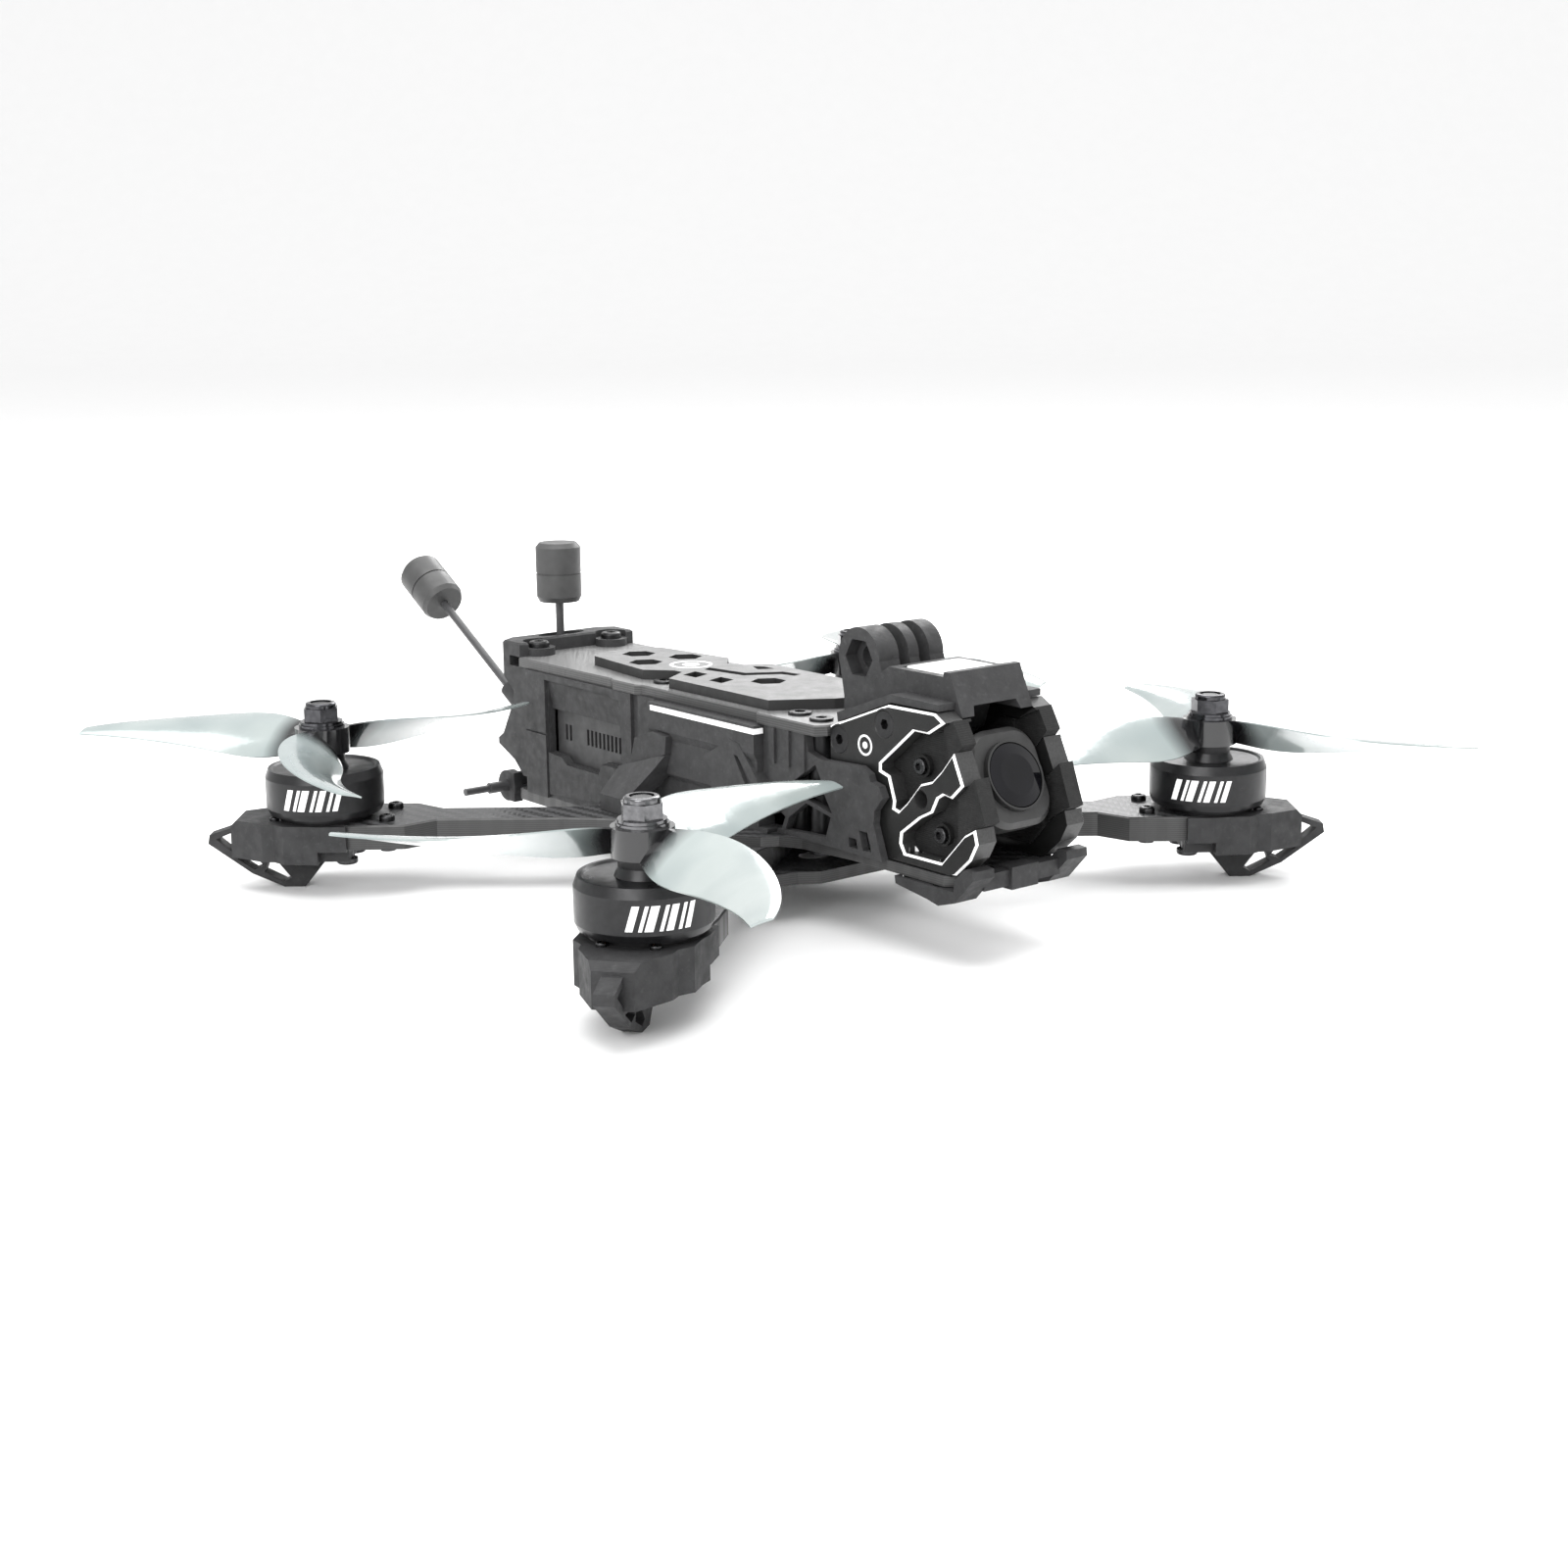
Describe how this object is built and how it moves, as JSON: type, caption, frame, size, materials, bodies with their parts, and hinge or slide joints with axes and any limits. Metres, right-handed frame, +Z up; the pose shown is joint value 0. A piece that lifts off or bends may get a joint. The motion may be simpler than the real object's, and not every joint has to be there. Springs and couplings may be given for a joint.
{
  "type": "quadcopter drone",
  "caption": "Freestyle racing quadcopter with carbon arms, tilted nose camera in a metal cage, action-camera mount, rear antennas and turning three-bladed propellers.",
  "frame": {"origin": "middle of the bottom plate's underside, midway between the four motor axes", "axes": "+Z up, -Y towards the nose and camera, +X towards the drone's left side"},
  "size_m": [0.2651, 0.2745, 0.0763],
  "materials": {
    "carbon_plate": "woven carbon fibre, cut edges matt",
    "top_plate": "carbon plate with a fine satin grey skin",
    "black_aluminium": "black anodised",
    "cage_aluminium": "black anodised, bright bevelled edges",
    "battery_pad": "ribbed grip rubber",
    "printed_tpu": "printed flexible plastic with fine layer lines",
    "camera_housing": "satin moulded",
    "lens_barrel": "ringed matt barrel",
    "lens_glass": "coated glass",
    "gps_cover": "satin ceramic",
    "light_strip": "milky diffuser",
    "video_housing": "black anodised, finned",
    "antenna_sheath": "smooth heat shrink",
    "antenna_cap": "satin moulded",
    "circuit_board": "black solder mask",
    "rubber_spacer": "soft grommet",
    "capacitor_sleeve": "shrink sleeve",
    "stator_core": "laminated core with lacquered copper windings",
    "black_steel": "black oxide",
    "bright_steel": "plain steel",
    "motor_bell": "satin black with light graphic bars",
    "propeller": "translucent grey, glossy",
    "black_chrome": "dark plated"
  },
  "bodies": {
    "root": {"action_camera_mount": "printed_tpu", "antenna_stems": "antenna_sheath", "arm_front_left": "carbon_plate", "arm_front_right": "carbon_plate", "arm_rear_left": "carbon_plate", "arm_rear_right": "carbon_plate", "battery_pad": "battery_pad", "bottom_plate": "carbon_plate", "cage_plate_left": "cage_aluminium", "cage_plate_right": "cage_aluminium", "cage_spacers": "black_aluminium", "camera_bezel": "camera_housing", "camera_body": "camera_housing", "camera_insert_left": "printed_tpu", "camera_insert_right": "printed_tpu", "camera_lens": "lens_barrel", "capacitor": "capacitor_sleeve", "countersunk_screws": "black_steel", "esc_board": "circuit_board", "flight_controller": "circuit_board", "frame_screws": "black_steel", "gps_module": "gps_cover", "led_strips": "light_strip", "lens_glass": "lens_glass", "mid_plate": "carbon_plate", "motor_base_front_left": "black_aluminium", "motor_base_front_right": "black_aluminium", "motor_base_rear_left": "black_aluminium", "motor_base_rear_right": "black_aluminium", "motor_guard_front_left": "printed_tpu", "motor_guard_front_right": "printed_tpu", "motor_guard_rear_left": "printed_tpu", "motor_guard_rear_right": "printed_tpu", "nose_bumper": "printed_tpu", "raked_antenna_cap": "antenna_cap", "rear_antenna_mount": "printed_tpu", "receiver_antenna": "antenna_sheath", "receiver_antenna_holder": "printed_tpu", "receiver_board": "circuit_board", "side_panel_left": "printed_tpu", "side_panel_right": "printed_tpu", "small_screws": "bright_steel", "stack_spacers": "rubber_spacer", "standoffs": "black_aluminium", "stator_cores": "stator_core", "top_plate": "top_plate", "upright_antenna_cap": "antenna_cap", "video_unit": "video_housing"},
    "rotor_front_right": {"bell_front_right": "motor_bell", "prop_front_right": "propeller", "prop_nut_front_right": "black_chrome"},
    "rotor_front_left": {"bell_front_left": "motor_bell", "prop_front_left": "propeller", "prop_nut_front_left": "black_chrome"},
    "rotor_rear_right": {"bell_rear_right": "motor_bell", "prop_rear_right": "propeller", "prop_nut_rear_right": "black_chrome"},
    "rotor_rear_left": {"bell_rear_left": "motor_bell", "prop_rear_left": "propeller", "prop_nut_rear_left": "black_chrome"}
  },
  "joints": [
    {"name": "spin_front_right", "type": "hinge", "parent": "root", "child": "rotor_front_right", "pos_m": [-0.08525, -0.0678, 0.0215], "axis": [0, 0, 1], "continuous": true},
    {"name": "spin_front_left", "type": "hinge", "parent": "root", "child": "rotor_front_left", "pos_m": [0.08525, -0.0678, 0.0215], "axis": [0, 0, 1], "continuous": true},
    {"name": "spin_rear_right", "type": "hinge", "parent": "root", "child": "rotor_rear_right", "pos_m": [-0.08525, 0.0678, 0.0215], "axis": [0, 0, 1], "continuous": true},
    {"name": "spin_rear_left", "type": "hinge", "parent": "root", "child": "rotor_rear_left", "pos_m": [0.08525, 0.0678, 0.0215], "axis": [0, 0, 1], "continuous": true}
  ]
}
